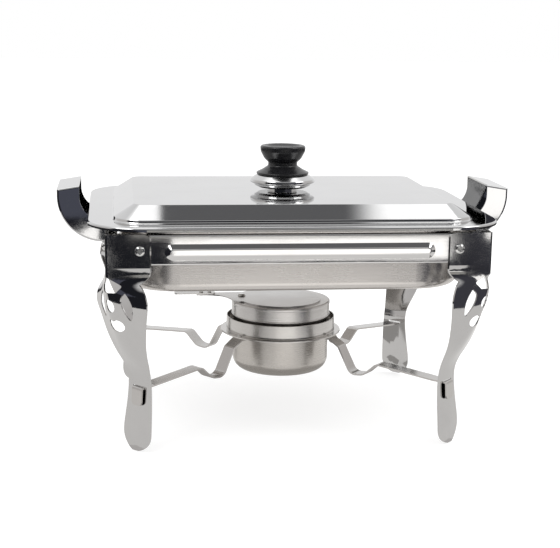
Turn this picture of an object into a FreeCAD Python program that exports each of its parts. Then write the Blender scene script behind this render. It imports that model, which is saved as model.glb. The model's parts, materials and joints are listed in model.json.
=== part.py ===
import FreeCAD, Part
import math
import os

# Chafing dish food warmer.  Millimetres, +Z up, origin on the table under the centre of the dish.
# X runs along the long side between the two handles, the front faces -Y.

V = FreeCAD.Vector

# ---- stand ---------------------------------------------------------------------------------
FRAME_X = 164.8          # half length of the apron, outer face
FRAME_Y = 139.8          # half depth of the apron, outer face
APRON_TOP = 196.0
APRON_BOTTOM = 170.0
APRON_SHEET = 1.0
APRON_BEND = 1.4         # outer bend radius of the apron's edges
APRON_CORNER_GAP = 7.2   # each apron wall stops this far short of the corner
LEDGE = 9.4              # inward shelf that carries the water pan
BOTTOM_LIP = 6.0
BEAD_HALF = 116.0        # embossed bead in the long walls
BEAD_LOW = 174.4
BEAD_HIGH = 188.2
BEAD_DEPTH = 2.8
BEAD_DRAFT = 4.3         # how far the bead's flanks slope in over its depth

# ---- legs ----------------------------------------------------------------------------------
LEG_SHEET = 1.2
LEG_TOP = 196.6
LEG_WING = 26.4          # half width of the folded leg seen along its diagonal
LEG_WAIST_Z = 153.8
LEG_WAIST = 21.4
FOOT_R = 16.2            # rounded end of the foot
FOOT_FLAT = 3.5          # half width of the small flat it stands on
SCREW_IN = 29.0          # screw centre from the corner, on both wings
SCREW_Z = 182.8

# ---- leg screws ----------------------------------------------------------------------------
HEAD_R = 4.2
HEAD_H = 2.6
SHANK_R = 2.0
SCREW_HOLE_R = 2.2
SHANK_L = 6.4
RECESS_L = 5.4           # length and width of each bar of the cross recess
RECESS_W = 1.3
NUT_FLATS = 7.0
NUT_H = 3.2

# ---- handles -------------------------------------------------------------------------------
HANDLE_AXIS_X = 168.0    # centre of the handle's quarter bend
HANDLE_AXIS_Z = 214.0
HANDLE_R = 41.6
HANDLE_INNER_R = 21.6
HANDLE_TOP = 220.8       # outer edge of the top plate
HANDLE_RISE = 3.2        # the top plate climbs this much toward the lid
HANDLE_HALF = 36.0
HANDLE_SHEET = 1.2
TAB_H = 17.0
RIVET_R = 3.4
RIVET_SHANK_R = 1.95
RIVET_HOLE_R = 2.0
RIVET_Y = 19.0           # rivets stand this far either side of the handle's middle
RIVET_Z = HANDLE_AXIS_Z - HANDLE_R + 9.0

# ---- pans ----------------------------------------------------------------------------------
PAN_CX = 103.0           # centres of the pans' corner curves
PAN_CY = 78.0
WATER_BOTTOM = 143.0
WATER_RIM = 163.4
WATER_SHEET = 1.0
FOOD_BOTTOM = 158.0
FOOD_RIM = 160.4
FOOD_SHEET = 0.9

# ---- lid -----------------------------------------------------------------------------------
LID_CX = 131.0           # centres of the lid's corner curves
LID_CY = 89.0
LID_SHEET = 0.9
LID_TOP = 215.7
LID_SLOPE_FOOT = 204.6
LID_FLANGE = 201.8
LID_HEM = 198.4
LID_REACH = 51.0         # from the corner centre to the flange's edge

# ---- knob ----------------------------------------------------------------------------------
KNOB_SEAT = 230.2
KNOB_TOP = 257.6
KNOB_SCREW_R = 1.95
KNOB_THREAD_R = 2.0      # threaded hole in the knob
KNOB_HOLE_R = 2.4        # clearance hole in the lid, saucer and washer
KNOB_SCREW_DEPTH = 11.4  # screw length inside the knob
WASHER_T = 1.0

# ---- burner --------------------------------------------------------------------------------
RING_FLANGE_R = 57.7
RING_HOLE_R = 47.0
RING_R = 52.2
RING_SHEET = 1.0
RING_FLANGE_Z = 79.6
RING_SEAT = 81.0         # upper face of the flange, where the can's bead rests
RING_TOP = 94.0
CAN_R = 45.9
CAN_BOTTOM = 42.0
CAN_TOP = 108.6
CAN_EDGE = 12.0
CAN_SHEET = 0.8
BEAD_R = 50.4            # bead around the can that carries it in the ring
CAN_BEAD_H = 3.0
COVER_R = 47.4
COVER_INNER_R = 46.5
COVER_LOW = 95.4
COVER_TOP = 109.6
COVER_HOLE_R = 21.0
DISC_R = 39.0
DISC_T = 1.2
DISC_X = -1.0            # middle of the damper disc
DISC_Y = -3.0
FAN_X = -80.0            # end of the damper's tongue, under the lever
LEVER_TIP_X = -101.5
LEVER_ROOT_X = -62.0
LEVER_T = 1.2
LEVER_RIVETS = (-75.5, -67.5)
LEVER_RIVET_Y = 20.0
LEVER_RIVET_R = 1.2
PIN_X = -37.0
PIN_Y = 9.0
PIN_R = 2.4
PIN_GAP = 0.08           # running fit of the damper on its pin

# ---- support arms --------------------------------------------------------------------------
ARM_W = 13.0
ARM_T = 1.5
ANKLE_IN = 39.5          # inset of the leg's ankle along the diagonal
ARM_HOOK_Z = 57.2        # top of the arm where it passes through the leg
ARM_SLOT_HALF = 7.6      # slot in the leg's ankle that the arm hooks through
ARM_SLOT_H = 2.4
ARM_TAB_Z = 40.8         # lower end of the arm's tab outside the leg
RIVET_ON_RING = 55.2     # radius at which the arms are riveted to the ring
RING_RIVET_R = 1.25
RING_RIVET_HOLE_R = 1.3


def sheet_offset(path, t):
    """Shift a path of (d, z, radius) corners sideways by t, to its left."""
    moved = []
    last = len(path) - 1
    for i, (d, z, r) in enumerate(path):
        here = V(d, 0, z)
        normals = []
        if i > 0:
            a = path[i - 1]
            along = (here - V(a[0], 0, a[1])).normalize()
            normals.append(V(-along.z, 0, along.x))
        if i < last:
            b = path[i + 1]
            along = (V(b[0], 0, b[1]) - here).normalize()
            normals.append(V(-along.z, 0, along.x))
        if len(normals) == 1:
            shift = normals[0] * t
            new_r = 0.0
        else:
            mid = (normals[0] + normals[1]).normalize()
            shift = mid * (t / mid.dot(normals[0]))
            turn = normals[0].x * normals[1].z - normals[0].z * normals[1].x
            new_r = r - t if turn > 0 else r + t
        moved.append((d + shift.x, z + shift.z, max(new_r, 0.0) if r > 0 else 0.0))
    return moved


def path_edges(path, closed=False):
    """Straight lines through (d, z, radius) corners in the XZ plane, each corner rounded."""
    n = len(path)
    entry = []
    leave = []
    arcs = []
    for i, (d, z, r) in enumerate(path):
        here = V(d, 0, z)
        inner = closed or 0 < i < n - 1
        if r <= 0 or not inner:
            entry.append(here)
            leave.append(here)
            arcs.append(None)
            continue
        before = path[i - 1]
        after = path[(i + 1) % n]
        to_a = (V(before[0], 0, before[1]) - here).normalize()
        to_b = (V(after[0], 0, after[1]) - here).normalize()
        half = to_a.getAngle(to_b) / 2.0
        reach = r / math.tan(half)
        p = here + to_a * reach
        q = here + to_b * reach
        centre = here + (to_a + to_b).normalize() * (r / math.sin(half))
        mid = centre + (here - centre).normalize() * r
        entry.append(p)
        leave.append(q)
        arcs.append(Part.Arc(p, mid, q).toShape())
    edges = []
    for i in range(n):
        if arcs[i]:
            edges.append(arcs[i])
        j = (i + 1) % n
        if j == 0 and not closed:
            break
        if (entry[j] - leave[i]).Length > 1e-6:
            edges.append(Part.makeLine(leave[i], entry[j]))
    return edges


def sheet_face(path, t):
    """Section of a bent sheet: the given outline on one side, a parallel one t to its left."""
    other = sheet_offset(path, t)
    edges = path_edges(path)
    back = path_edges(other)
    edges.append(Part.makeLine(V(path[-1][0], 0, path[-1][1]), V(other[-1][0], 0, other[-1][1])))
    edges.extend(back)
    edges.append(Part.makeLine(V(path[0][0], 0, path[0][1]), V(other[0][0], 0, other[0][1])))
    return Part.Face(Part.Wire(Part.__sortEdges__(edges)))


def solid_face(path):
    """Closed section through rounded corners in the XZ plane."""
    return Part.Face(Part.Wire(Part.__sortEdges__(path_edges(path, closed=True))))


def turned(path, x=0.0, y=0.0):
    """Solid of revolution about a vertical axis at (x, y)."""
    body = solid_face(path).revolve(V(0, 0, 0), V(0, 0, 1), 360)
    body.translate(V(x, y, 0))
    return body


def turned_sheet(path, t):
    """Revolved sheet about the Z axis."""
    return sheet_face(path, t).revolve(V(0, 0, 0), V(0, 0, 1), 360)


def tray(face, plate_low, plate_high, cx, cy):
    """Rounded rectangular tray whose section face starts at the corner curve's centre."""
    parts = []
    for sx, sy, turn in ((1, 1, 0), (-1, 1, 90), (-1, -1, 180), (1, -1, 270)):
        corner = face.revolve(V(0, 0, 0), V(0, 0, 1), 90)
        corner.rotate(V(0, 0, 0), V(0, 0, 1), turn)
        corner.translate(V(sx * cx, sy * cy, 0))
        parts.append(corner)
    for turn, reach, span in ((0, cx, cy), (90, cy, cx), (180, cx, cy), (270, cy, cx)):
        side = face.copy()
        side.translate(V(reach, -span, 0))
        side = side.extrude(V(0, 2 * span, 0))
        side.rotate(V(0, 0, 0), V(0, 0, 1), turn)
        parts.append(side)
    plate = Part.makeBox(2 * cx, 2 * cy, plate_high - plate_low, V(-cx, -cy, plate_low))
    return plate.multiFuse(parts).removeSplitter()


def cylinder(r, h, base, axis=V(0, 0, 1)):
    return Part.makeCylinder(r, h, base, axis)


def group(shapes):
    return Part.makeCompound(shapes)


nodes = {}


# ---- apron walls -----------------------------------------------------------------------------
def apron_wall(face_at, half_length, ledge_half, bead_half):
    """One wall, built facing -Y, with its shelf, bottom lip and embossed bead."""
    ledge_inner = face_at - LEDGE
    path = [
        (-ledge_inner, APRON_TOP - APRON_SHEET, 0),
        (-face_at + APRON_SHEET, APRON_TOP - APRON_SHEET, APRON_BEND - APRON_SHEET),
        (-face_at + APRON_SHEET, APRON_BOTTOM + APRON_SHEET, APRON_BEND - APRON_SHEET),
        (-face_at + BOTTOM_LIP, APRON_BOTTOM + APRON_SHEET, 0),
    ]
    section = sheet_face(path, -APRON_SHEET)
    section.rotate(V(0, 0, 0), V(0, 0, 1), 90)
    section.translate(V(-half_length, 0, 0))
    wall = section.extrude(V(2 * half_length, 0, 0))
    trim = face_at - APRON_SHEET - APRON_BEND
    for side in (-1, 1):
        x = ledge_half if side > 0 else -half_length - 1
        length = half_length + 1 - ledge_half
        for low, high in ((APRON_BOTTOM - 1, APRON_BOTTOM + 2), (APRON_TOP - 2, APRON_TOP + 1)):
            off = Part.makeBox(length, trim, high - low, V(x, -trim, low))
            wall = wall.cut(off)
    if bead_half:
        wall = emboss(wall, face_at, bead_half)
    return wall


def bead_tool(half, low, high, y_front, depth, draft):
    """Capsule block with sloping sides, standing out to -Y."""
    wires = []
    for step, inset in ((0.0, 0.0), (depth, draft)):
        r = (high - low) / 2 - inset
        mid = (high + low) / 2
        run = half - (high - low) / 2
        y = y_front - step
        left = Part.Arc(V(-run, y, mid + r), V(-run - r, y, mid), V(-run, y, mid - r)).toShape()
        right = Part.Arc(V(run, y, mid - r), V(run + r, y, mid), V(run, y, mid + r)).toShape()
        top = Part.makeLine(V(run, y, mid + r), V(-run, y, mid + r))
        base = Part.makeLine(V(-run, y, mid - r), V(run, y, mid - r))
        wires.append(Part.Wire([left, base, right, top]))
    return Part.makeLoft(wires, True, True)


def emboss(wall, face_at, half):
    """Push a hollow capsule bead outward through the wall."""
    low = BEAD_LOW + APRON_SHEET
    high = BEAD_HIGH - APRON_SHEET
    inner_depth = BEAD_DEPTH - APRON_SHEET
    inner_draft = BEAD_DRAFT * inner_depth / BEAD_DEPTH
    crest = bead_tool(half, BEAD_LOW, BEAD_HIGH, -face_at, BEAD_DEPTH, BEAD_DRAFT)
    long_edges = [e for e in crest.Edges if e.BoundBox.YMax < -face_at - BEAD_DEPTH + 0.01]
    crest = crest.makeFillet(1.8, long_edges)
    root = bead_tool(half - APRON_SHEET, low, high, -face_at, inner_depth, inner_draft)
    slab = bead_tool(half - APRON_SHEET, low, high, -face_at + 1.5, 1.5, 0.0)
    return wall.fuse(crest).cut(root.fuse(slab)).removeSplitter()


front = apron_wall(FRAME_Y, FRAME_X - APRON_CORNER_GAP, FRAME_X - APRON_CORNER_GAP, BEAD_HALF)
end = apron_wall(FRAME_X, FRAME_Y - APRON_CORNER_GAP, FRAME_Y - LEDGE, 0)

for sign in (-1, 1):
    side_x = sign * (FRAME_X + LEG_SHEET - SCREW_IN)
    hole = cylinder(SCREW_HOLE_R, 8, V(side_x, -FRAME_Y - 4, SCREW_Z), V(0, 1, 0))
    front = front.cut(hole)
    side_x = sign * (FRAME_Y + LEG_SHEET - SCREW_IN)
    hole = cylinder(SCREW_HOLE_R, 8, V(side_x, -FRAME_X - 4, SCREW_Z), V(0, 1, 0))
    end = end.cut(hole)
    hole = cylinder(RIVET_HOLE_R, 8, V(sign * RIVET_Y, -FRAME_X - 4, RIVET_Z), V(0, 1, 0))
    end = end.cut(hole)

nodes["front_panel"] = front
nodes["back_panel"] = front.rotated(V(0, 0, 0), V(0, 0, 1), 180)
nodes["left_end_panel"] = end.rotated(V(0, 0, 0), V(0, 0, 1), -90)
nodes["right_end_panel"] = end.rotated(V(0, 0, 0), V(0, 0, 1), 90)

# ---- legs ------------------------------------------------------------------------------------
# A leg is drawn in its own upright frame: x across the sheet, y inward along the diagonal,
# starting at the sharp outer corner of the stand.  Each row: height, inward offset of the line
# where the two wings' outer faces would meet, angle of the wings from flat, radius of the fold.
LEG_ROWS = [
    (168.0, 0.0, 45.0, 2.0),
    (160.0, 0.0, 45.0, 2.5),
    (154.0, 0.3, 40.5, 3.0),
    (147.0, 0.9, 33.8, 4.0),
    (140.0, 2.0, 29.7, 6.0),
    (133.0, 4.0, 27.0, 9.0),
    (126.0, 6.6, 26.2, 12.0),
    (118.0, 9.8, 24.9, 16.0),
    (110.0, 13.6, 22.2, 20.0),
    (102.0, 17.8, 19.2, 25.0),
    (94.0, 22.5, 16.0, 32.0),
    (86.0, 28.0, 12.0, 42.0),
    (77.0, 34.2, 8.0, 55.0),
    (68.0, 38.2, 5.0, 70.0),
    (58.0, 39.3, 4.5, 75.0),
    (46.0, 38.7, 4.5, 75.0),
    (32.0, 37.2, 4.5, 75.0),
    (16.0, 35.5, 4.5, 75.0),
    (0.0, 34.2, 4.5, 75.0),
]
LEG_MARGIN = 34.0        # half width of the blank before it is trimmed


def leg_section(z, sharp, angle, radius):
    """Closed outline of the folded sheet at one height."""
    a = math.radians(angle)
    centre_y = sharp + radius / math.cos(a)
    curves = []
    for shift in (0.0, LEG_SHEET):
        r = radius - shift
        tx = r * math.sin(a)
        ty = centre_y - r * math.cos(a)
        far_y = sharp + shift / math.cos(a) + LEG_MARGIN * math.tan(a)
        pts = (V(-LEG_MARGIN, far_y, z), V(-tx, ty, z), V(tx, ty, z), V(LEG_MARGIN, far_y, z))
        arc = Part.Arc(pts[1], V(0, centre_y - r, z), pts[2]).toShape()
        curves.append((pts, arc))
    outer, arc_o = curves[0]
    inner, arc_i = curves[1]
    edges = [
        Part.makeLine(outer[0], outer[1]),
        arc_o,
        Part.makeLine(outer[2], outer[3]),
        Part.makeLine(outer[3], inner[3]),
        Part.makeLine(inner[3], inner[2]),
        arc_i.reversed(),
        Part.makeLine(inner[1], inner[0]),
        Part.makeLine(inner[0], outer[0]),
    ]
    return Part.Wire(edges)


def leg_outline():
    """Trimmed silhouette of a leg, seen along its diagonal."""
    top_r = 3.6
    foot_centre = math.sqrt(FOOT_R ** 2 - FOOT_FLAT ** 2)
    foot_mid_x = FOOT_R * math.cos(math.radians(38))
    foot_mid_z = foot_centre - FOOT_R * math.sin(math.radians(38))
    waist = V(LEG_WAIST, 0, LEG_WAIST_Z)
    shoulder = V(LEG_WING, 0, 168.0)
    neck = Part.BSplineCurve()
    neck.interpolate(
        Points=[shoulder, V(26.1, 0, 163.5), V(24.8, 0, 158.8), waist],
        InitialTangent=V(0, 0, -1),
        FinalTangent=V(-0.75, 0, -1),
    )
    lower = [
        (LEG_WAIST, LEG_WAIST_Z),
        (24.6, 150.3),
        (27.7, 145.2),
        (29.6, 139.0),
        (29.5, 133.5),
        (28.2, 128.0),
        (26.0, 120.5),
        (23.8, 111.0),
        (21.0, 100.5),
        (18.0, 89.5),
        (15.3, 80.0),
        (13.5, 72.0),
        (13.1, 65.0),
        (13.4, 57.0),
        (14.2, 45.0),
        (15.3, 32.0),
        (16.0, 23.0),
        (FOOT_R, foot_centre),
    ]
    curve = Part.BSplineCurve()
    curve.interpolate([V(x, 0, z) for x, z in lower])
    right = [
        Part.makeLine(V(0, 0, LEG_TOP), V(LEG_WING - top_r, 0, LEG_TOP)),
        Part.Arc(
            V(LEG_WING - top_r, 0, LEG_TOP),
            V(LEG_WING - top_r * (1 - math.sqrt(0.5)), 0, LEG_TOP - top_r * (1 - math.sqrt(0.5))),
            V(LEG_WING, 0, LEG_TOP - top_r),
        ).toShape(),
        Part.makeLine(V(LEG_WING, 0, LEG_TOP - top_r), shoulder),
        neck.toShape(),
        curve.toShape(),
        Part.Arc(V(FOOT_R, 0, foot_centre), V(foot_mid_x, 0, foot_mid_z), V(FOOT_FLAT, 0, 0)).toShape(),
        Part.makeLine(V(FOOT_FLAT, 0, 0), V(0, 0, 0)),
    ]
    edges = right + [e.mirror(V(0, 0, 0), V(1, 0, 0)) for e in right]
    return Part.Face(Part.Wire(Part.__sortEdges__(edges)))


def closed_spline(points):
    curve = Part.BSplineCurve()
    curve.interpolate(Points=[V(x, 0, z) for x, z in points], PeriodicFlag=True)
    return Part.Face(Part.Wire([curve.toShape()]))


def through_cut(face):
    """Prism along the leg's diagonal from an outline in its upright plane."""
    tool = face.copy()
    tool.translate(V(0, -20, 0))
    return tool.extrude(V(0, 90, 0))


def make_leg():
    wires = [leg_section(*row) for row in LEG_ROWS]
    lower = Part.makeLoft(wires, True, False)
    head = Part.Face(leg_section(*LEG_ROWS[0])).extrude(V(0, 0, LEG_TOP - LEG_ROWS[0][0]))
    blank = lower.fuse(head)
    leg = blank.common(through_cut(leg_outline()))
    kite = solid_face([(0, 160.8, 1.2), (10.8, 152.8, 1.6), (6.4, 147.0, 1.4),
                       (-6.4, 147.0, 1.4), (-10.8, 152.8, 1.6)])
    oval = closed_spline([(0, 141.2), (3.7, 138.6), (4.4, 135.2), (3.5, 131.6), (0, 129.4),
                          (-3.5, 131.6), (-4.4, 135.2), (-3.7, 138.6)])
    moon = closed_spline([(0, 121.2), (4.5, 122.2), (7.8, 119.6), (7.9, 115.0), (4.4, 112.0), (0, 111.0),
                          (-4.4, 112.0), (-7.9, 115.0), (-7.8, 119.6), (-4.5, 122.2)])
    leaf = closed_spline([(13.6, 146.6), (16.4, 142.0), (18.4, 136.0), (18.0, 129.5), (14.6, 122.8),
                          (12.0, 127.5), (10.3, 134.5), (9.7, 141.0), (11.2, 145.0)])
    slot_low = ARM_HOOK_Z - ARM_T
    slot_high = slot_low + ARM_SLOT_H
    window = solid_face([(-ARM_SLOT_HALF, slot_low, 0), (ARM_SLOT_HALF, slot_low, 0),
                         (ARM_SLOT_HALF, slot_high, 0.8), (-ARM_SLOT_HALF, slot_high, 0.8)])
    for face in (kite, oval, moon, leaf, leaf.mirror(V(0, 0, 0), V(1, 0, 0)), window):
        leg = leg.cut(through_cut(face))
    return leg


leg = make_leg()
leg.rotate(V(0, 0, 0), V(0, 0, 1), -45)
leg.translate(V(-FRAME_X - LEG_SHEET, -FRAME_Y - LEG_SHEET, 0))
for x_out, y_out, axis in ((SCREW_IN, -4, V(0, 1, 0)), (-4, SCREW_IN, V(1, 0, 0))):
    base = V(-FRAME_X - LEG_SHEET + x_out, -FRAME_Y - LEG_SHEET + y_out, SCREW_Z)
    leg = leg.cut(cylinder(SCREW_HOLE_R, 8, base, axis))


def to_corner(shape, sx, sy):
    """Move a front-left piece to another corner by mirroring it."""
    moved = shape.copy()
    if sx > 0:
        moved = moved.mirror(V(0, 0, 0), V(1, 0, 0))
    if sy > 0:
        moved = moved.mirror(V(0, 0, 0), V(0, 1, 0))
    return moved


CORNERS = (("front_left", -1, -1), ("front_right", 1, -1), ("back_left", -1, 1), ("back_right", 1, 1))
for corner_name, sx, sy in CORNERS:
    nodes["leg_" + corner_name] = to_corner(leg, sx, sy)


# ---- leg screws and nuts ---------------------------------------------------------------------
def pan_screw():
    """Cross recessed screw lying along +Y, underside of its head at y = 0."""
    head = solid_face([(0, -HEAD_H, 0), (HEAD_R * 0.62, -HEAD_H, 1.2), (HEAD_R, -HEAD_H * 0.62, 0.8),
                       (HEAD_R, 0, 0), (0, 0, 0)])
    head = head.revolve(V(0, 0, 0), V(0, 0, 1), 360)
    shank = cylinder(SHANK_R, SHANK_L, V(0, 0, 0))
    recess_z = -HEAD_H - 0.2
    bar_x = Part.makeBox(RECESS_L, RECESS_W, 1.4, V(-RECESS_L / 2, -RECESS_W / 2, recess_z))
    bar_y = Part.makeBox(RECESS_W, RECESS_L, 1.4, V(-RECESS_W / 2, -RECESS_L / 2, recess_z))
    cross = bar_x.fuse(bar_y)
    screw = head.fuse(shank).cut(cross)
    return screw.rotated(V(0, 0, 0), V(1, 0, 0), -90)


def hex_nut():
    """Nut lying along +Y, its seat at y = 0."""
    r = NUT_FLATS / math.sqrt(3)
    ring = [V(r * math.cos(math.radians(60 * k)), 0, r * math.sin(math.radians(60 * k))) for k in range(7)]
    nut = Part.Face(Part.makePolygon(ring)).extrude(V(0, NUT_H, 0))
    return nut.cut(cylinder(SHANK_R + 0.05, 10, V(0, -2, 0), V(0, 1, 0)))


screws = []
nuts = []
for corner_name, sx, sy in CORNERS:
    on_front = pan_screw()
    on_front.translate(V(-FRAME_X - LEG_SHEET + SCREW_IN, -FRAME_Y - LEG_SHEET, SCREW_Z))
    on_end = pan_screw().rotated(V(0, 0, 0), V(0, 0, 1), -90)
    on_end.translate(V(-FRAME_X - LEG_SHEET, -FRAME_Y - LEG_SHEET + SCREW_IN, SCREW_Z))
    nut_front = hex_nut()
    nut_front.translate(V(-FRAME_X - LEG_SHEET + SCREW_IN, -FRAME_Y + APRON_SHEET, SCREW_Z))
    nut_end = hex_nut().rotated(V(0, 0, 0), V(0, 0, 1), -90)
    nut_end.translate(V(-FRAME_X + APRON_SHEET, -FRAME_Y - LEG_SHEET + SCREW_IN, SCREW_Z))
    for piece in (on_front, on_end):
        screws.append(to_corner(piece, sx, sy))
    for piece in (nut_front, nut_end):
        nuts.append(to_corner(piece, sx, sy))
nodes["leg_screws"] = group(screws)
nodes["leg_nuts"] = group(nuts)


# ---- handles ---------------------------------------------------------------------------------
def make_handle():
    """Left handle: curved outer web, two cheeks, a top plate and a riveted tab."""
    cx = -HANDLE_AXIS_X
    cz = HANDLE_AXIS_Z
    wall_x = -FRAME_X
    diag = math.sqrt(0.5)
    slope = HANDLE_RISE / (HANDLE_R - HANDLE_INNER_R)

    def profile(r_out, r_in, top, x_end):
        a = V(cx - r_out, 0, top)
        b = V(cx - r_out, 0, cz)
        c = V(cx - r_out * diag, 0, cz - r_out * diag)
        d = V(cx, 0, cz - r_out)
        e = V(x_end, 0, cz - r_out)
        f = V(x_end, 0, cz - r_in)
        g = V(cx, 0, cz - r_in)
        h = V(cx - r_in * diag, 0, cz - r_in * diag)
        i = V(cx - r_in, 0, cz)
        j = V(cx - r_in, 0, top + slope * (r_out - r_in))
        edges = [
            Part.makeLine(a, b),
            Part.Arc(b, c, d).toShape(),
            Part.makeLine(d, e),
            Part.makeLine(e, f),
            Part.makeLine(f, g),
            Part.Arc(g, h, i).toShape(),
            Part.makeLine(i, j),
            Part.makeLine(j, a),
        ]
        return Part.Face(Part.Wire(edges))

    outer = profile(HANDLE_R, HANDLE_INNER_R, HANDLE_TOP, wall_x)
    outer.translate(V(0, -HANDLE_HALF, 0))
    body = outer.extrude(V(0, 2 * HANDLE_HALF, 0))
    rim = [e for e in body.Edges if e.Length > 15 and abs(e.BoundBox.YMax - e.BoundBox.YMin) < 1e-6
           and e.BoundBox.XMin < cx - HANDLE_R + 0.1]
    body = body.makeFillet(2.0, rim)
    hollow = profile(HANDLE_R - HANDLE_SHEET, HANDLE_INNER_R - 6, HANDLE_TOP - HANDLE_SHEET, wall_x + 2)
    hollow.translate(V(0, -HANDLE_HALF + HANDLE_SHEET, 0))
    hollow = hollow.extrude(V(0, 2 * (HANDLE_HALF - HANDLE_SHEET), 0))
    body = body.cut(hollow)
    tab_low = cz - HANDLE_R
    tab_half = HANDLE_HALF - 4.0
    tab_corner = V(wall_x - HANDLE_SHEET, -tab_half, tab_low)
    tab = Part.makeBox(HANDLE_SHEET, 2 * tab_half, TAB_H, tab_corner)
    body = body.fuse(tab).removeSplitter()
    for y in (-RIVET_Y, RIVET_Y):
        body = body.cut(cylinder(RIVET_HOLE_R, 8, V(wall_x - 4, y, RIVET_Z), V(1, 0, 0)))
    return body


def flat_rivet(length):
    """Rivet along +X: domed head ending at x = 0, shank, and a closed head at the far side."""
    head = solid_face([(0, -1.8, 0), (RIVET_R * 0.55, -1.8, 1.0), (RIVET_R, -0.7, 0.5),
                       (RIVET_R, 0, 0), (0, 0, 0)])
    head = head.revolve(V(0, 0, 0), V(0, 0, 1), 360)
    shank = cylinder(RIVET_SHANK_R, length, V(0, 0, 0))
    tail = cylinder(RIVET_R - 0.4, 1.0, V(0, 0, length))
    return head.fuse(shank).fuse(tail).rotated(V(0, 0, 0), V(0, 1, 0), 90)


handle = make_handle()
nodes["handle_left"] = handle
nodes["handle_right"] = handle.mirror(V(0, 0, 0), V(1, 0, 0))
rivets = []
for y in (-RIVET_Y, RIVET_Y):
    rivet = flat_rivet(HANDLE_SHEET + APRON_SHEET)
    rivet.translate(V(-FRAME_X - HANDLE_SHEET, y, RIVET_Z))
    rivets.append(rivet)
    rivets.append(rivet.mirror(V(0, 0, 0), V(1, 0, 0)))
nodes["handle_rivets"] = group(rivets)

# ---- water pan and food pan ------------------------------------------------------------------
water_path = [
    (0, WATER_BOTTOM, 0),
    (47.2, WATER_BOTTOM, 8.0),
    (49.6, APRON_TOP, 2.4),
    (WATER_RIM - PAN_CX, APRON_TOP, 1.5),
    (WATER_RIM - PAN_CX, APRON_TOP + 2.4, 0),
]
water = tray(sheet_face(water_path, WATER_SHEET), WATER_BOTTOM, WATER_BOTTOM + WATER_SHEET, PAN_CX, PAN_CY)
nodes["water_pan"] = water

food_low = APRON_TOP + WATER_SHEET
food_path = [
    (0, FOOD_BOTTOM, 0),
    (42.4, FOOD_BOTTOM, 9.0),
    (44.2, food_low, 2.4),
    (FOOD_RIM - PAN_CX, food_low, 1.6),
    (FOOD_RIM - PAN_CX, LID_FLANGE - LID_SHEET, 0),
]
food = tray(sheet_face(food_path, FOOD_SHEET), FOOD_BOTTOM, FOOD_BOTTOM + FOOD_SHEET, PAN_CX, PAN_CY)
nodes["food_pan"] = food

# ---- lid -------------------------------------------------------------------------------------
lid_path = [
    (0, LID_TOP, 0),
    (10.0, LID_TOP, 1.6),
    (27.6, LID_SLOPE_FOOT, 1.5),
    (28.2, LID_FLANGE, 1.5),
    (LID_REACH, LID_FLANGE, 1.8),
    (LID_REACH, LID_HEM, 0),
]
lid = tray(sheet_face(lid_path, -LID_SHEET), LID_TOP - LID_SHEET, LID_TOP, LID_CX, LID_CY)
lid = lid.cut(cylinder(KNOB_HOLE_R, 8, V(0, 0, LID_TOP - 4)))
nodes["lid_shell"] = lid

saucer = turned([
    (0, LID_TOP, 0),
    (14.0, LID_TOP, 0),
    (14.0, LID_TOP + 2.6, 0.8),
    (23.2, LID_TOP + 2.6, 1.2),
    (26.4, LID_TOP + 4.4, 1.3),
    (27.2, LID_TOP + 6.2, 0.8),
    (30.8, LID_TOP + 7.3, 1.2),
    (30.2, LID_TOP + 10.4, 2.4),
    (24.8, KNOB_SEAT - 0.6, 2.0),
    (23.6, KNOB_SEAT, 0.5),
    (0, KNOB_SEAT, 0),
])
saucer = saucer.cut(cylinder(KNOB_HOLE_R, 40, V(0, 0, LID_TOP - 4)))
nodes["knob_saucer"] = saucer

knob = turned([
    (0, KNOB_SEAT, 0),
    (24.2, KNOB_SEAT, 0.5),
    (25.0, KNOB_SEAT + 1.7, 0.9),
    (19.0, KNOB_SEAT + 4.6, 5.0),
    (13.9, KNOB_SEAT + 8.0, 2.2),
    (13.5, KNOB_SEAT + 11.2, 2.6),
    (17.4, KNOB_SEAT + 14.8, 9.0),
    (21.0, KNOB_SEAT + 21.6, 8.0),
    (21.4, KNOB_TOP, 2.0),
    (17.2, KNOB_TOP - 0.5, 1.2),
    (13.0, KNOB_TOP - 2.2, 6.0),
    (0, KNOB_TOP - 2.8, 0),
])
knob = knob.cut(cylinder(KNOB_THREAD_R, KNOB_SCREW_DEPTH + 0.6, V(0, 0, KNOB_SEAT)))
nodes["lid_knob"] = knob

lid_under = LID_TOP - LID_SHEET
washer_low = lid_under - WASHER_T
washer = cylinder(7.0, WASHER_T, V(0, 0, washer_low))
nodes["knob_washer"] = washer.cut(cylinder(KNOB_HOLE_R, 4, V(0, 0, washer_low - 1)))
screw_head = turned([
    (0, washer_low - 2.8, 0),
    (2.8, washer_low - 2.8, 1.0),
    (4.0, washer_low - 1.6, 0.6),
    (4.0, washer_low, 0),
    (0, washer_low, 0),
])
screw_shank = cylinder(KNOB_SCREW_R, KNOB_SEAT + KNOB_SCREW_DEPTH - washer_low, V(0, 0, washer_low))
screw_slot = Part.makeBox(9.0, 1.0, 1.2, V(-4.5, -0.5, washer_low - 3.0))
nodes["knob_screw"] = screw_head.fuse(screw_shank).cut(screw_slot)

# ---- burner ring -----------------------------------------------------------------------------
ring_path = [
    (RING_HOLE_R, RING_FLANGE_Z, 0),
    (RING_FLANGE_R, RING_FLANGE_Z, 0),
    (RING_FLANGE_R, RING_SEAT, 0.6),
    (RING_R, RING_SEAT, 0.5),
    (RING_R, RING_TOP, 0.4),
    (RING_R - RING_SHEET, RING_TOP, 0.4),
    (RING_R - RING_SHEET, RING_SEAT, 0),
    (RING_HOLE_R, RING_SEAT, 0.3),
]
burner_ring = turned(ring_path)

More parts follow.
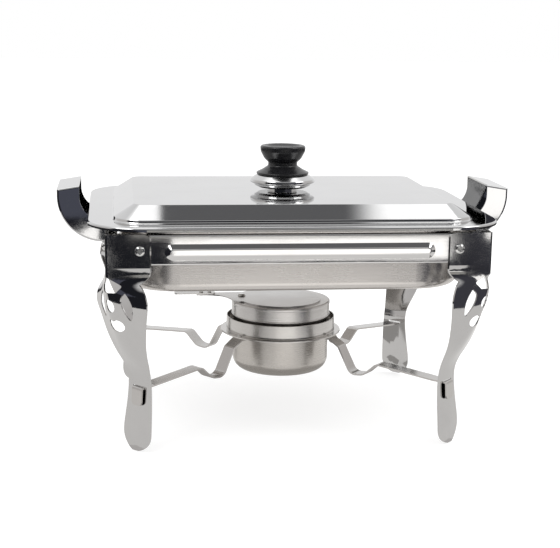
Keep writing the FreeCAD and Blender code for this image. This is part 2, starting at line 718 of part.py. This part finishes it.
# ---- support arms ----------------------------------------------------------------------------
ankle_x = -FRAME_X - LEG_SHEET + ANKLE_IN / math.sqrt(2)
ankle_y = -FRAME_Y - LEG_SHEET + ANKLE_IN / math.sqrt(2)
arm_reach = math.hypot(ankle_x, ankle_y)
arm_turn = math.degrees(math.atan2(ankle_y, ankle_x))

arm_path = [
    (48.6, RING_FLANGE_Z, 0),
    (58.2, RING_FLANGE_Z, 3.0),
    (69.0, 73.4, 4.0),
    (82.4, 49.2, 8.0),
    (95.5, 50.6, 11.0),
    (108.6, 62.6, 7.0),
    (arm_reach - 12.0, ARM_HOOK_Z + 0.4, 20.0),
    (arm_reach + 2.6, ARM_HOOK_Z, 2.6),
    (arm_reach + 3.5, ARM_TAB_Z, 0),
]
arm = sheet_face(arm_path, -ARM_T)
arm.translate(V(0, -ARM_W / 2, 0))
arm = arm.extrude(V(0, ARM_W, 0))
tab_corners = [e for e in arm.Edges if e.BoundBox.ZMax < ARM_TAB_Z + 0.1 and abs(e.Length - ARM_T) < 1e-6]
arm = arm.makeFillet(3.5, tab_corners)
arm = arm.cut(cylinder(RING_RIVET_HOLE_R, 8, V(RIVET_ON_RING, 0, RING_FLANGE_Z - 4)))

ring_rivet = turned([
    (0, RING_SEAT + 1.2, 0),
    (1.5, RING_SEAT + 1.2, 0.6),
    (2.2, RING_SEAT, 0),
    (RING_RIVET_R, RING_SEAT, 0),
    (RING_RIVET_R, RING_FLANGE_Z - ARM_T, 0),
    (2.3, RING_FLANGE_Z - ARM_T, 0),
    (2.0, RING_FLANGE_Z - ARM_T - 0.9, 0.3),
    (0, RING_FLANGE_Z - ARM_T - 0.9, 0),
], RIVET_ON_RING)

ring_rivets = []
for corner_name, sx, sy in CORNERS:
    placed = arm.rotated(V(0, 0, 0), V(0, 0, 1), arm_turn)
    pin = ring_rivet.rotated(V(0, 0, 0), V(0, 0, 1), arm_turn)
    nodes["arm_" + corner_name] = to_corner(placed, sx, sy)
    ring_rivets.append(to_corner(pin, sx, sy))
    x, y, _ = pin.CenterOfMass
    hole = cylinder(RING_RIVET_HOLE_R, 8, V(abs(x) * sx, abs(y) * sy, RING_FLANGE_Z - 4))
    burner_ring = burner_ring.cut(hole)
nodes["burner_ring"] = burner_ring
nodes["ring_rivets"] = group(ring_rivets)

# ---- fuel can --------------------------------------------------------------------------------
can_path = [
    (0, CAN_BOTTOM, 0),
    (CAN_R, CAN_BOTTOM, CAN_EDGE),
    (CAN_R, CAN_TOP, 0.9),
    (COVER_HOLE_R + 3.0, CAN_TOP, 0),
]
can = turned_sheet(can_path, CAN_SHEET)
bead = turned([
    (CAN_R - 0.4, RING_SEAT, 0),
    (BEAD_R, RING_SEAT, 0.6),
    (BEAD_R, RING_SEAT + CAN_BEAD_H, 1.4),
    (CAN_R - 0.4, RING_SEAT + CAN_BEAD_H, 0),
])
nodes["fuel_can"] = can.fuse(bead).removeSplitter()

# ---- burner cover and damper -----------------------------------------------------------------
cover = turned([
    (COVER_HOLE_R, COVER_TOP, 0.4),
    (COVER_R, COVER_TOP, 1.3),
    (COVER_R, COVER_TOP - 3.0, 0.5),
    (COVER_INNER_R + 0.6, COVER_TOP - 3.6, 0.3),
    (COVER_INNER_R + 0.6, COVER_LOW + 1.2, 0.3),
    (COVER_R, COVER_LOW + 0.9, 0.3),
    (COVER_R, COVER_LOW, 0.3),
    (COVER_INNER_R, COVER_LOW, 0.2),
    (COVER_INNER_R, CAN_TOP, 0),
    (COVER_HOLE_R, CAN_TOP, 0.4),
])
nodes["burner_cover"] = cover.cut(cylinder(PIN_R - 0.6, 6, V(PIN_X, PIN_Y, CAN_TOP - 2)))


def flat_plate(points, z, t):
    """Flat plate with straight edges between (x, y) corners."""
    corners = [V(x, y, z) for x, y in points]
    return Part.Face(Part.makePolygon(corners + [corners[0]])).extrude(V(0, 0, t))


disc = cylinder(DISC_R, DISC_T, V(DISC_X, DISC_Y, COVER_TOP))
fan_tip = V(FAN_X, 16.0, COVER_TOP)
fan_root = V(PIN_X, -18.0, COVER_TOP)
fan_curve = Part.BSplineCurve()
fan_curve.interpolate([fan_tip, V(-66.0, 14.8, COVER_TOP), V(-57.0, 11.0, COVER_TOP),
                       V(-50.8, 2.0, COVER_TOP), V(-46.4, -9.0, COVER_TOP), fan_root])
fan_back = [fan_root, V(-20.0, 10.0, COVER_TOP), V(-28.0, 25.4, COVER_TOP),
            V(FAN_X, 24.6, COVER_TOP), fan_tip]
fan = Part.Face(Part.Wire([fan_curve.toShape()] + Part.makePolygon(fan_back).Edges))
fan = fan.extrude(V(0, 0, DISC_T))
damper = disc.fuse(fan).removeSplitter()
damper = damper.cut(cylinder(PIN_R + PIN_GAP, 4, V(PIN_X, PIN_Y, COVER_TOP - 1)))
lever_z = COVER_TOP + DISC_T
lever_outline = [(LEVER_TIP_X, 16.4), (LEVER_ROOT_X, 16.0), (LEVER_ROOT_X, 24.2), (LEVER_TIP_X, 25.2)]
lever = flat_plate(lever_outline, lever_z, LEVER_T)
upright = [e for e in lever.Edges if abs(e.BoundBox.ZLength - LEVER_T) < 1e-6]
lever = lever.makeFillet(2.4, upright)
lever_rivets = []
for x in LEVER_RIVETS:
    hole = cylinder(LEVER_RIVET_R + 0.05, 8, V(x, LEVER_RIVET_Y, COVER_TOP - 3))
    damper = damper.cut(hole)
    lever = lever.cut(hole)
    lever_rivets.append(turned([
        (0, lever_z + LEVER_T + 1.1, 0),
        (1.6, lever_z + LEVER_T + 1.1, 0.6),
        (2.3, lever_z + LEVER_T, 0),
        (LEVER_RIVET_R, lever_z + LEVER_T, 0),
        (LEVER_RIVET_R, COVER_TOP, 0),
        (2.0, COVER_TOP, 0),
        (1.8, COVER_TOP - 0.8, 0.2),
        (0, COVER_TOP - 0.8, 0),
    ], x, LEVER_RIVET_Y))
nodes["damper_plate"] = damper
nodes["damper_lever"] = lever
nodes["lever_rivets"] = group(lever_rivets)

pin_foot_r = PIN_R - 0.65
nodes["damper_pin"] = turned([
    (0, lever_z + 1.9, 0),
    (2.8, lever_z + 1.9, 0.8),
    (4.2, lever_z + 0.1, 0),
    (PIN_R, lever_z + 0.1, 0),
    (PIN_R, COVER_TOP, 0),
    (pin_foot_r, COVER_TOP, 0),
    (pin_foot_r, CAN_TOP + 0.05, 0),
    (0, CAN_TOP + 0.05, 0),
], PIN_X, PIN_Y)

os.makedirs("parts", exist_ok=True)
for name, shape in nodes.items():
    shape.exportStep("parts/" + name + ".step")
    solids = len(shape.Solids)
    print(name, solids, round(shape.Volume), "ok" if shape.isValid() else "INVALID")
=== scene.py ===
import json
import math

import bpy
from mathutils import Matrix, Vector

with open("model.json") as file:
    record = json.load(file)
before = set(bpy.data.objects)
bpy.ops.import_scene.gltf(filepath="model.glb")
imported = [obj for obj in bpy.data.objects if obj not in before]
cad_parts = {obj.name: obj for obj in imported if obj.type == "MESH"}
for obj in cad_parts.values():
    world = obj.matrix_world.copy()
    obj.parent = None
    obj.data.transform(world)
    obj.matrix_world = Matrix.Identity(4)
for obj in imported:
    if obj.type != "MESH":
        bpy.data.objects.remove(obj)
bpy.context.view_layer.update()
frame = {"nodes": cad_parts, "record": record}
nodes = frame["nodes"]

# ---- camera -----------------------------------------------------------------------------------
LENS_MM = 83.5
SENSOR_MM = 36.0
YAW = math.radians(7.13)         # to the right of +Y
PITCH = math.radians(11.43)      # downward
ROLL = math.radians(0.83)
DISTANCE = 1.2489
AIM = Vector((-0.0010, 0.0, 0.1334))

# ---- studio -----------------------------------------------------------------------------------
FLOOR_HALF = 9.0
TABLE_HALF_X = 0.295     # table top in front of the dish
TABLE_FRONT = -0.76
TABLE_WIDE_X = 0.60      # table top beside and behind it
TABLE_WIDE_Y = -0.22
TABLE_BACK = 3.0
TABLE_GLOW = 0.85
SHADE_HALF_X = 0.125     # ground shaded by the dish
SHADE_HALF_Y = 0.10
SHADE_GLOW = 0.42
SHADE_Z = 0.0002         # shade and front glow lie just over the table top
GLOW_Z = 0.0004
CARD_Y = -1.14           # upright cards stand beyond the table's front edge
FLAG_Z = 1.2             # overhead flag
BLACK = (0.0, 0.0, 0.0)
PAPER = 0.45
PAPER_GLOW = 0.70


def make_camera():
    """Camera on the photographer's side, a little left of the middle and slightly tilted."""
    forward = Vector((math.sin(YAW) * math.cos(PITCH), math.cos(YAW) * math.cos(PITCH), -math.sin(PITCH)))
    right = forward.cross(Vector((0, 0, 1))).normalized()
    up = right.cross(forward)
    tilted_right = right * math.cos(ROLL) + up * math.sin(ROLL)
    tilted_up = up * math.cos(ROLL) - right * math.sin(ROLL)
    data = bpy.data.cameras.new("camera")
    data.lens = LENS_MM
    data.sensor_width = SENSOR_MM
    data.clip_start = 0.01
    data.clip_end = 50.0
    camera = bpy.data.objects.new("camera", data)
    turn = Matrix((tilted_right, tilted_up, -forward)).transposed()
    camera.matrix_world = Matrix.Translation(AIM - forward * DISTANCE) @ turn.to_4x4()
    bpy.context.scene.collection.objects.link(camera)
    bpy.context.scene.camera = camera


# ---- surface detail, in noise cells to the metre ------------------------------------------------
GRAIN_ACROSS = 900.0     # brushing
GRAIN_ALONG = 12.0
RING_ACROSS = 1400.0     # spun or turned streaks
RING_ALONG = 0.6         # cells to the radian
HAIR = (260.0, 1500.0, 420.0)    # hair scratches left by polishing
CLOUD = 22.0             # handling marks
RIPPLE = 16.0            # slow waves of a pressed sheet


# ---- small node helpers -----------------------------------------------------------------------
class Tree:
    """A node tree with short calls for adding and joining nodes."""

    def __init__(self, tree):
        self.tree = tree

    def add(self, kind, **settings):
        made = self.tree.nodes.new(kind)
        for key, value in settings.items():
            setattr(made, key, value)
        return made

    def join(self, source, target):
        self.tree.links.new(source, target)

    def put(self, socket, value):
        if isinstance(value, bpy.types.NodeSocket):
            self.join(value, socket)
        else:
            socket.default_value = value

    def math(self, operation, a, b=0.0, clamp=False):
        made = self.add("ShaderNodeMath", operation=operation, use_clamp=clamp)
        self.put(made.inputs[0], a)
        self.put(made.inputs[1], b)
        return made.outputs[0]

    def place(self):
        """Position in the part's own frame, in metres."""
        return self.add("ShaderNodeTexCoord").outputs["Object"]

    def split(self, vector):
        made = self.add("ShaderNodeSeparateXYZ")
        self.join(vector, made.inputs[0])
        return made.outputs

    def vector(self, x, y, z):
        made = self.add("ShaderNodeCombineXYZ")
        for socket, value in zip(made.inputs, (x, y, z)):
            self.put(socket, value)
        return made.outputs[0]

    def stretch(self, vector, scale):
        made = self.add("ShaderNodeVectorMath", operation="MULTIPLY")
        self.join(vector, made.inputs[0])
        made.inputs[1].default_value = scale
        return made.outputs[0]

    def noise(self, vector, scale, detail=3.0, rough=0.5):
        made = self.add("ShaderNodeTexNoise")
        self.join(vector, made.inputs["Vector"])
        made.inputs["Scale"].default_value = scale
        made.inputs["Detail"].default_value = detail
        made.inputs["Roughness"].default_value = rough
        return made.outputs["Fac"]

    def span(self, value, low, high, to_low, to_high, smooth=False):
        made = self.add("ShaderNodeMapRange", clamp=True)
        made.interpolation_type = "SMOOTHSTEP" if smooth else "LINEAR"
        self.join(value, made.inputs["Value"])
        for key, number in (("From Min", low), ("From Max", high), ("To Min", to_low), ("To Max", to_high)):
            made.inputs[key].default_value = number
        return made.outputs["Result"]

    def mix(self, factor, a, b):
        made = self.add("ShaderNodeMix", data_type="RGBA")
        self.put(made.inputs["Factor"], factor)
        for name, value in (("A", a), ("B", b)):
            socket = [s for s in made.inputs if s.name == name and s.type == "RGBA"][0]
            self.put(socket, value if isinstance(value, bpy.types.NodeSocket) else (*value, 1.0))
        return [s for s in made.outputs if s.type == "RGBA"][0]

    def bump(self, height, distance, under=None):
        made = self.add("ShaderNodeBump")
        made.inputs["Strength"].default_value = 1.0
        made.inputs["Distance"].default_value = distance
        self.join(height, made.inputs["Height"])
        if under is not None:
            self.join(under, made.inputs["Normal"])
        return made.outputs["Normal"]


def new_surface(name):
    """A material and its tree, with the Principled shader already joined to the output."""
    material = bpy.data.materials.new(name)
    material.use_nodes = True
    tree = Tree(material.node_tree)
    return material, tree, material.node_tree.nodes["Principled BSDF"]


def coarse_grain(tree, place, direction):
    """Long thin streaks that run along one axis."""
    scale = [GRAIN_ACROSS] * 3
    scale["xyz".index(direction)] = GRAIN_ALONG
    return tree.noise(tree.stretch(place, scale), 1.0, 4.0, 0.65)


def ring_grain(tree, place):
    """Streaks that run round the upright axis, as turning or spinning leaves them."""
    x, y, z = tree.split(place)
    radius = tree.math("SQRT", tree.math("ADD", tree.math("MULTIPLY", x, x), tree.math("MULTIPLY", y, y)))
    angle = tree.math("ARCTAN2", y, x)
    rings = tree.vector(tree.math("MULTIPLY", radius, RING_ACROSS), tree.math("MULTIPLY", angle, RING_ALONG),
                        tree.math("MULTIPLY", z, RING_ACROSS))
    return tree.noise(rings, 1.0, 4.0, 0.7)


def smudges(tree, place, scale=CLOUD):
    """Soft cloudy patches from handling."""
    return tree.noise(place, scale, 4.0, 0.6)


def polished(name, colour, gloss, wave, haze):
    """Mirror polished sheet: a slight wave from pressing, faint cloudy handling marks, hair scratches."""
    material, tree, bsdf = new_surface(name)
    place = tree.place()
    cloud = smudges(tree, place)
    hair = tree.noise(tree.stretch(place, HAIR), 1.0, 5.0, 0.7)
    rough = tree.math("ADD", tree.span(cloud, 0.42, 0.72, gloss, gloss + haze, True),
                      tree.span(hair, 0.5, 0.8, 0.0, haze * 0.6))
    tint = tree.mix(tree.span(cloud, 0.35, 0.75, 0.0, 1.0), colour, [c * 0.94 for c in colour])
    tree.join(tint, bsdf.inputs["Base Color"])
    tree.join(rough, bsdf.inputs["Roughness"])
    bsdf.inputs["Metallic"].default_value = 1.0
    ripple = tree.bump(tree.noise(place, RIPPLE, 1.0, 0.3), wave)
    fine = tree.bump(hair, 0.000004, ripple)
    tree.join(fine, bsdf.inputs["Normal"])
    return material


def brushed(name, colour, gloss, direction, depth=0.000004, patch=0.06, streak=0.06):
    """Brushed sheet with its grain along one axis, or round the upright axis."""
    material, tree, bsdf = new_surface(name)
    place = tree.place()
    if direction == "round":
        grain = ring_grain(tree, place)
    else:
        grain = coarse_grain(tree, place, direction)
    cloud = smudges(tree, place)
    rough = tree.math("ADD", tree.span(grain, 0.3, 0.7, gloss - streak * 0.5, gloss + streak * 0.5),
                      tree.span(cloud, 0.4, 0.7, 0.0, patch))
    pale = [c * (1.0 + streak) for c in colour]
    deep = [c * (1.0 - streak) for c in colour]
    shade = tree.mix(tree.span(grain, 0.3, 0.7, 0.0, 1.0), deep, pale)
    stain = (colour[0] * 0.90, colour[1] * 0.87, colour[2] * 0.83)
    stained = tree.mix(tree.span(cloud, 0.55, 0.8, 0.0, 0.35), shade, stain)
    tree.join(stained, bsdf.inputs["Base Color"])
    tree.join(rough, bsdf.inputs["Roughness"])
    bsdf.inputs["Metallic"].default_value = 1.0
    tree.join(tree.bump(grain, depth), bsdf.inputs["Normal"])
    return material


def moulded_plastic(name, colour):
    """Glossy moulding with a faint flow texture and a few dull patches."""
    material, tree, bsdf = new_surface(name)
    place = tree.place()
    cloud = smudges(tree, place, 60.0)
    tree.join(tree.span(cloud, 0.35, 0.75, 0.20, 0.34), bsdf.inputs["Roughness"])
    tree.join(tree.mix(tree.span(cloud, 0.3, 0.8, 0.0, 1.0), colour, [c * 1.6 for c in colour]),
              bsdf.inputs["Base Color"])
    bsdf.inputs["Specular IOR Level"].default_value = 0.45
    fine = tree.noise(place, 900.0, 2.0, 0.5)
    tree.join(tree.bump(fine, 0.000015), bsdf.inputs["Normal"])
    return material


def dress(node_names, material):
    for name in node_names:
        slots = nodes[name].data.materials
        slots.clear()
        slots.append(material)


def dress_all():
    slots = {s["node"]: s["material_slot"] for s in frame["record"]["subparts"]}

    def with_slot(slot):
        return [n for n, s in slots.items() if s == slot]

    surfaces = {
        "apron_steel": brushed("apron_steel", (0.66, 0.655, 0.65), 0.04, "x", 0.000001, 0.02, 0.03),
        "leg_steel": polished("leg_steel", (0.56, 0.555, 0.55), 0.05, 0.0004, 0.05),
        "screw_steel": polished("screw_steel", (0.66, 0.66, 0.65), 0.12, 0.0001, 0.10),
        "nut_steel": brushed("nut_steel", (0.50, 0.50, 0.48), 0.36, "z"),
        "handle_steel": polished("handle_steel", (0.60, 0.60, 0.60), 0.03, 0.0002, 0.03),
        "water_pan_steel": brushed("water_pan_steel", (0.62, 0.597, 0.575), 0.24, "x", 0.000002, 0.06, 0.05),
        "food_pan_steel": brushed("food_pan_steel", (0.60, 0.585, 0.57), 0.26, "x", 0.000002, 0.06, 0.05),
        "lid_steel": polished("lid_steel", (0.62, 0.62, 0.62), 0.035, 0.0002, 0.04),
        "saucer_steel": polished("saucer_steel", (0.64, 0.64, 0.64), 0.05, 0.0001, 0.05),
        "knob_plastic": moulded_plastic("knob_plastic", (0.008, 0.008, 0.009)),
        "arm_steel": polished("arm_steel", (0.54, 0.525, 0.51), 0.12, 0.0003, 0.10),
        "ring_steel": brushed("ring_steel", (0.60, 0.585, 0.565), 0.20, "round", 0.000004, 0.05, 0.07),
        "can_steel": brushed("can_steel", (0.56, 0.535, 0.505), 0.27, "round", 0.000005, 0.06, 0.09),
        "cover_steel": brushed("cover_steel", (0.60, 0.585, 0.57), 0.22, "round", 0.000004, 0.05, 0.07),
        "damper_steel": brushed("damper_steel", (0.60, 0.59, 0.58), 0.22, "x", 0.000003, 0.05, 0.05),
    }
    for slot, material in surfaces.items():
        dress(with_slot(slot), material)


# ---- studio -----------------------------------------------------------------------------------
def set_matt(bsdf, base, light, strength, rough=1.0):
    """Dull surface that also gives out light of its own."""
    bsdf.inputs["Base Color"].default_value = (*base, 1.0)
    bsdf.inputs["Roughness"].default_value = rough
    bsdf.inputs["Specular IOR Level"].default_value = 0.0
    bsdf.inputs["Emission Color"].default_value = (*light, 1.0)
    bsdf.inputs["Emission Strength"].default_value = strength


def plain(name, colour, strength):
    material, tree, bsdf = new_surface(name)
    set_matt(bsdf, colour, colour, strength, 0.9)
    return material


def glow(name, colour, strength):
    """Surface that only gives out light of its own."""
    material, tree, bsdf = new_surface(name)
    set_matt(bsdf, BLACK, colour, strength)
    return material


def card(name, corners, material):
    """Flat studio card through four corners."""
    mesh = bpy.data.meshes.new(name)
    mesh.from_pydata([Vector(c) for c in corners], [], [(0, 1, 2, 3)])
    mesh.materials.append(material)
    obj = bpy.data.objects.new(name, mesh)
    bpy.context.scene.collection.objects.link(obj)
    return obj


def unseen(obj):
    """Leave a card to the reflections alone."""
    obj.visible_camera = False
    obj.visible_shadow = False
    obj.visible_diffuse = False


def make_floor():
    """Pale floor for the eye, and the table top as the polished steel sees it."""
    far = FLOOR_HALF
    paper = plain("paper", (PAPER, PAPER, PAPER), PAPER_GLOW / PAPER)
    wide = level_card("floor", -far, far, -far, far, -0.001, paper)
    wide.visible_glossy = False
    table = glow("table_glow", (1.0, 0.985, 0.97), TABLE_GLOW)
    unseen(level_card("table_front", -TABLE_HALF_X, TABLE_HALF_X, TABLE_FRONT, TABLE_WIDE_Y, 0.0, table))
    unseen(level_card("table_back", -TABLE_WIDE_X, TABLE_WIDE_X, TABLE_WIDE_Y, TABLE_BACK, 0.0, table))
    shade = glow("shade_glow", (1.0, 0.97, 0.94), SHADE_GLOW)
    unseen(level_card("shade_reflection", -SHADE_HALF_X, SHADE_HALF_X, -SHADE_HALF_Y, SHADE_HALF_Y,
                      SHADE_Z, shade))


def upright_card(name, x0, x1, y, z0, z1, material):
    return card(name, [(x0, y, z0), (x1, y, z0), (x1, y, z1), (x0, y, z1)], material)


def level_card(name, x0, x1, y0, y1, z, material):
    return card(name, [(x0, y0, z), (x1, y0, z), (x1, y1, z), (x0, y1, z)], material)


def soft_flag(name):
    """Dark overhead panel that fades to the bright ceiling at its left and right."""
    material, tree, bsdf = new_surface(name)
    x, y, z = tree.split(tree.place())
    left = tree.span(x, -0.098, -0.082, 1.0, 0.0, True)
    right = tree.span(x, 0.22, 0.30, 0.0, 1.0, True)
    fade = tree.math("ADD", left, right, clamp=True)
    ahead = tree.span(y, -0.36, -0.24, 0.0, 1.0, True)
    shade = tree.mix(tree.math("MULTIPLY", fade, ahead), (0.15, 0.15, 0.155), (1.7, 1.7, 1.7))
    set_matt(bsdf, BLACK, BLACK, 1.0)
    tree.join(shade, bsdf.inputs["Emission Color"])
    return material


def make_cards():
    """Reflectors and flags round the table, seen only in reflections."""
    white = glow("white_card", (1.0, 0.985, 0.965), 1.7)
    blue = glow("blue_card", (0.095, 0.10, 0.13), 1.0)
    haze = glow("haze_card", (0.45, 0.44, 0.42), 1.0)
    front = glow("front_glow", (1.0, 0.98, 0.96), 1.25)
    for made in (
        level_card("overhead_flag", -0.6, 0.8, -0.95, 0.45, FLAG_Z, soft_flag("overhead_flag")),
        level_card("table_front_glow", -0.10, 0.16, -0.62, -0.27, GLOW_Z, front),
        upright_card("front_card", -0.07, 0.39, CARD_Y, -0.019, 0.018, white),
        upright_card("front_haze", -0.13, 0.40, CARD_Y, 0.018, 0.28, haze),
        upright_card("right_card", 0.455, 0.75, CARD_Y, 0.015, 0.26, white),
        upright_card("blue_card", -0.60, -0.175, CARD_Y - 0.01, 0.02, 0.25, blue),
        card("left_card", [(-0.32, CARD_Y, -0.10), (-0.19, CARD_Y, -0.10), (-0.19, CARD_Y, 0.0146),
                           (-0.32, CARD_Y, -0.068)], white),
    ):
        unseen(made)


def make_world():
    """White surroundings for the eye; reflections see a bright room that is dark on the camera's side."""
    world = bpy.data.worlds.new("studio")
    world.use_nodes = True
    bpy.context.scene.world = world
    tree = Tree(world.node_tree)
    tree.tree.nodes.clear()
    direction = tree.add("ShaderNodeTexCoord").outputs["Generated"]
    x, y, z = tree.split(direction)
    toward = tree.span(y, -0.42, -0.22, 1.0, 0.0, True)
    low = tree.span(z, 0.42, 0.62, 1.0, 0.0, True)
    dark_front = tree.math("MULTIPLY", toward, low)
    under = tree.span(z, -0.13, -0.09, 1.0, 0.0, True)
    ahead = tree.span(x, 0.20, 0.32, 0.0, 1.0, True)
    overhead = tree.span(z, 0.72, 0.92, 0.0, 1.0, True)
    sides = tree.span(tree.math("ABSOLUTE", x), 0.55, 0.95, 0.0, 1.0, True)
    room = tree.mix(sides, (0.92, 0.92, 0.925), (0.68, 0.66, 0.65))
    room = tree.mix(overhead, room, (1.7, 1.7, 1.7))
    room = tree.mix(under, room, (0.03, 0.03, 0.032))
    gloom = tree.mix(ahead, (0.018, 0.019, 0.024), (0.07, 0.07, 0.085))
    room = tree.mix(dark_front, room, gloom)
    seen = tree.add("ShaderNodeBackground")
    seen.inputs["Color"].default_value = (1.0, 1.0, 1.0, 1.0)
    seen.inputs["Strength"].default_value = 1.0
    around = tree.add("ShaderNodeBackground")
    tree.join(room, around.inputs["Color"])
    around.inputs["Strength"].default_value = 1.0
    pick = tree.add("ShaderNodeMixShader")
    tree.join(tree.add("ShaderNodeLightPath").outputs["Is Camera Ray"], pick.inputs[0])
    tree.join(around.outputs[0], pick.inputs[1])
    tree.join(seen.outputs[0], pick.inputs[2])
    out = tree.add("ShaderNodeOutputWorld")
    tree.join(pick.outputs[0], out.inputs["Surface"])


def make_lights():
    for name, place, size, power in (
        ("key", (-0.9, -0.7, 1.5), 0.9, 9.0),
        ("fill", (1.1, -0.5, 1.3), 0.9, 7.0),
    ):
        data = bpy.data.lights.new(name, "AREA")
        data.size = size
        data.energy = power
        lamp = bpy.data.objects.new(name, data)
        lamp.location = place
        lamp.rotation_euler = (Vector((0, 0, 0.1)) - Vector(place)).to_track_quat("-Z", "Y").to_euler()
        bpy.context.scene.collection.objects.link(lamp)


bpy.context.scene.view_settings.view_transform = "Standard"
make_camera()
make_world()
make_floor()
make_cards()
make_lights()
dress_all()
